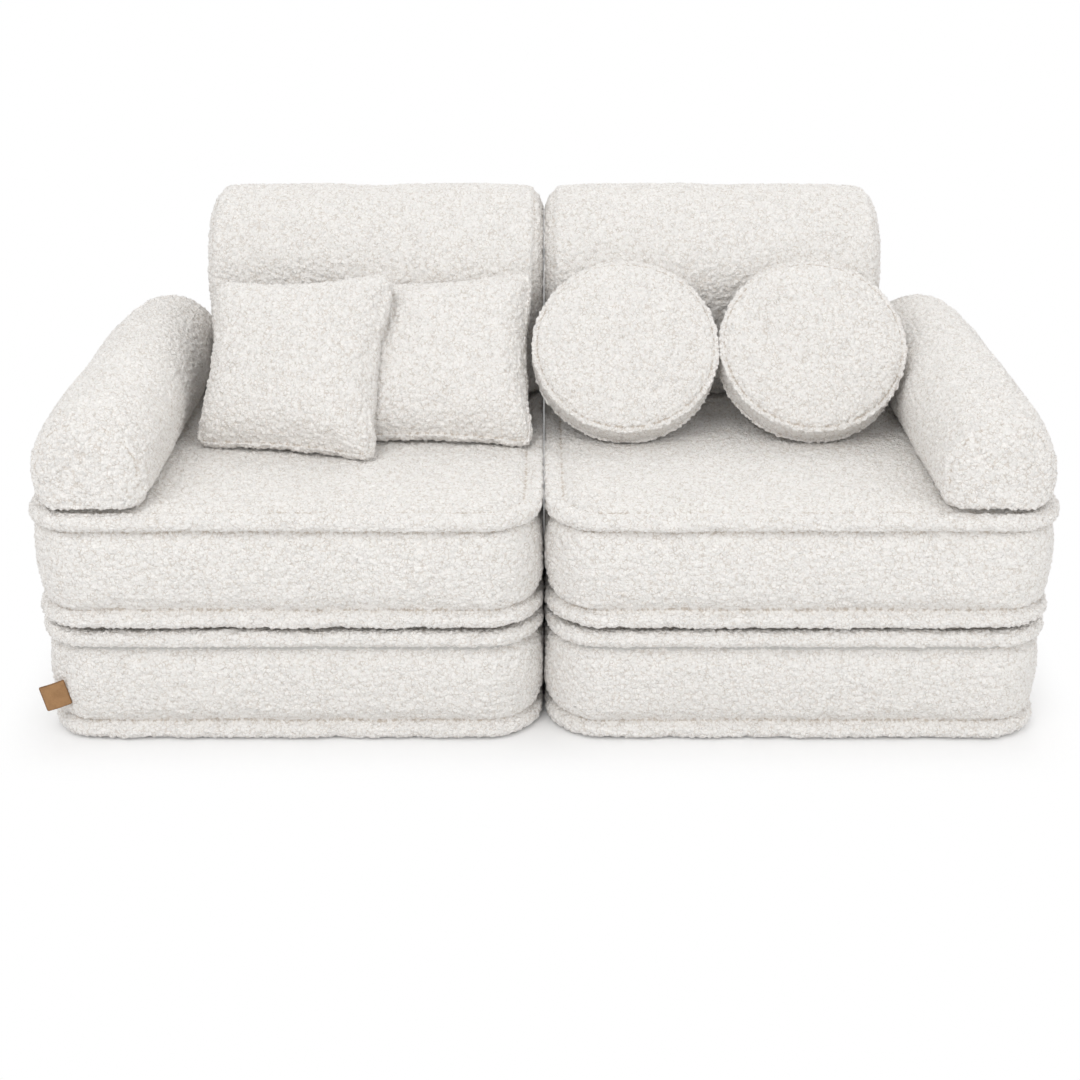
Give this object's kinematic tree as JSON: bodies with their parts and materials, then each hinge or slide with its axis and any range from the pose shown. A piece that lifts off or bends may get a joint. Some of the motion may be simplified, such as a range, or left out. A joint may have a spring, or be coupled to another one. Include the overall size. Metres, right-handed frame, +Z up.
{
  "type": "modular foam play sofa",
  "caption": "Low modular foam play sofa in cream boucle: stacked fold-out seat blocks, half-round backs and arms, square and round pillows.",
  "frame": {"origin": "middle of the footprint, on the floor", "axes": "+X to the right hand of someone facing the sofa, +Y to the rear, +Z up"},
  "size_m": [1.4, 0.7592, 0.6534],
  "materials": {
    "boucle": "cream teddy boucle with small curls",
    "foam": "open-cell foam",
    "fibre": "fibre filling",
    "zip": "coil zip on woven tape",
    "slider": "satin",
    "leather": "matt tan leather"
  },
  "bodies": {
    "seat_left": {"seat_left_upper_cover": "boucle", "seat_left_upper_foam": "foam", "seat_left_upper_zip": "zip", "fold_seam_left": "boucle"},
    "seat_left_base": {"seat_left_lower_cover": "boucle", "seat_left_lower_foam": "foam", "seat_left_lower_zip": "zip", "leather_tag": "leather"},
    "seat_right": {"seat_right_upper_cover": "boucle", "seat_right_upper_foam": "foam", "seat_right_upper_zip": "zip", "fold_seam_right": "boucle"},
    "seat_right_base": {"seat_right_lower_cover": "boucle", "seat_right_lower_foam": "foam", "seat_right_lower_zip": "zip"},
    "back_left": {"back_left_cover": "boucle", "back_left_foam": "foam", "back_left_zip": "zip"},
    "back_right": {"back_right_cover": "boucle", "back_right_foam": "foam", "back_right_zip": "zip"},
    "arm_left": {"arm_left_cover": "boucle", "arm_left_foam": "foam", "arm_left_zip": "zip"},
    "arm_right": {"arm_right_cover": "boucle", "arm_right_foam": "foam", "arm_right_zip": "zip"},
    "square_pillow_inner": {"square_pillow_inner_cover": "boucle", "square_pillow_inner_filling": "fibre", "square_pillow_inner_zip": "zip"},
    "square_pillow_outer": {"square_pillow_outer_cover": "boucle", "square_pillow_outer_filling": "fibre", "square_pillow_outer_zip": "zip"},
    "round_pillow_inner": {"round_pillow_inner_cover": "boucle", "round_pillow_inner_filling": "fibre", "round_pillow_inner_zip": "zip"},
    "round_pillow_outer": {"round_pillow_outer_cover": "boucle", "round_pillow_outer_filling": "fibre", "round_pillow_outer_zip": "zip"},
    "seat_left_upper_slider": {"seat_left_upper_zip_slider": "slider"},
    "seat_left_lower_slider": {"seat_left_lower_zip_slider": "slider"},
    "seat_right_upper_slider": {"seat_right_upper_zip_slider": "slider"},
    "seat_right_lower_slider": {"seat_right_lower_zip_slider": "slider"},
    "back_left_slider": {"back_left_zip_slider": "slider"},
    "back_right_slider": {"back_right_zip_slider": "slider"},
    "arm_left_slider": {"arm_left_zip_slider": "slider"},
    "arm_right_slider": {"arm_right_zip_slider": "slider"},
    "square_pillow_inner_slider": {"square_pillow_inner_zip_slider": "slider"},
    "square_pillow_outer_slider": {"square_pillow_outer_zip_slider": "slider"},
    "round_pillow_inner_slider": {"round_pillow_inner_zip_slider": "slider"},
    "round_pillow_outer_slider": {"round_pillow_outer_zip_slider": "slider"}
  },
  "joints": [
    {"name": "right_module_slide", "type": "slide", "parent": "seat_left", "child": "seat_right", "axis": [1, 0, 0], "range_m": [0, 0.5]},
    {"name": "left_fold", "type": "hinge", "parent": "seat_left", "child": "seat_left_base", "pos_m": [-0.3525, 0.3724, 0.1735], "axis": [1, 0, 0], "range_deg": [0, 180]},
    {"name": "right_fold", "type": "hinge", "parent": "seat_right", "child": "seat_right_base", "pos_m": [0.3525, 0.3724, 0.1735], "axis": [1, 0, 0], "range_deg": [0, 180]},
    {"name": "back_left_lift", "type": "slide", "parent": "seat_left", "child": "back_left", "axis": [0, 0.7071, 0.7071], "range_m": [0, 0.35]},
    {"name": "back_right_lift", "type": "slide", "parent": "seat_right", "child": "back_right", "axis": [0, 0.7071, 0.7071], "range_m": [0, 0.35]},
    {"name": "arm_left_lift", "type": "slide", "parent": "seat_left", "child": "arm_left", "axis": [-0.7071, 0, 0.7071], "range_m": [0, 0.25]},
    {"name": "arm_right_lift", "type": "slide", "parent": "seat_right", "child": "arm_right", "axis": [0.7071, 0, 0.7071], "range_m": [0, 0.25]},
    {"name": "square_pillow_inner_lift", "type": "slide", "parent": "seat_left", "child": "square_pillow_inner", "axis": [0, 0, 1], "range_m": [0, 0.3]},
    {"name": "square_pillow_outer_lift", "type": "slide", "parent": "square_pillow_inner", "child": "square_pillow_outer", "axis": [0, 0, 1], "range_m": [0, 0.25]},
    {"name": "round_pillow_inner_lift", "type": "slide", "parent": "seat_right", "child": "round_pillow_inner", "axis": [0, 0, 1], "range_m": [0, 0.3]},
    {"name": "round_pillow_outer_lift", "type": "slide", "parent": "seat_right", "child": "round_pillow_outer", "axis": [0, 0, 1], "range_m": [0, 0.3]},
    {"name": "seat_left_upper_zip_pull", "type": "slide", "parent": "seat_left", "child": "seat_left_upper_slider", "axis": [0, 1, 0], "range_m": [0, 0.27]},
    {"name": "seat_left_lower_zip_pull", "type": "slide", "parent": "seat_left_base", "child": "seat_left_lower_slider", "axis": [0, -1, 0], "range_m": [0, 0.27]},
    {"name": "seat_right_upper_zip_pull", "type": "slide", "parent": "seat_right", "child": "seat_right_upper_slider", "axis": [0, 1, 0], "range_m": [0, 0.27]},
    {"name": "seat_right_lower_zip_pull", "type": "slide", "parent": "seat_right_base", "child": "seat_right_lower_slider", "axis": [0, -1, 0], "range_m": [0, 0.27]},
    {"name": "back_left_zip_pull", "type": "slide", "parent": "back_left", "child": "back_left_slider", "axis": [1, 0, 0], "range_m": [0, 0.36]},
    {"name": "back_right_zip_pull", "type": "slide", "parent": "back_right", "child": "back_right_slider", "axis": [1, 0, 0], "range_m": [0, 0.36]},
    {"name": "arm_left_zip_pull", "type": "slide", "parent": "arm_left", "child": "arm_left_slider", "axis": [0, 1, 0], "range_m": [0, 0.42]},
    {"name": "arm_right_zip_pull", "type": "slide", "parent": "arm_right", "child": "arm_right_slider", "axis": [0, -1, 0], "range_m": [0, 0.42]},
    {"name": "square_pillow_inner_zip_pull", "type": "slide", "parent": "square_pillow_inner", "child": "square_pillow_inner_slider", "axis": [0.9996, -0.0102, 0.0247], "range_m": [0, 0.09]},
    {"name": "square_pillow_outer_zip_pull", "type": "slide", "parent": "square_pillow_outer", "child": "square_pillow_outer_slider", "axis": [0.9866, -0.1582, 0.0407], "range_m": [0, 0.09]},
    {"name": "round_pillow_inner_zip_pull", "type": "slide", "parent": "round_pillow_inner", "child": "round_pillow_inner_slider", "axis": [1, 0, 0], "range_m": [0, 0.09]},
    {"name": "round_pillow_outer_zip_pull", "type": "slide", "parent": "round_pillow_outer", "child": "round_pillow_outer_slider", "axis": [1, 0, 0], "range_m": [0, 0.09]}
  ]
}
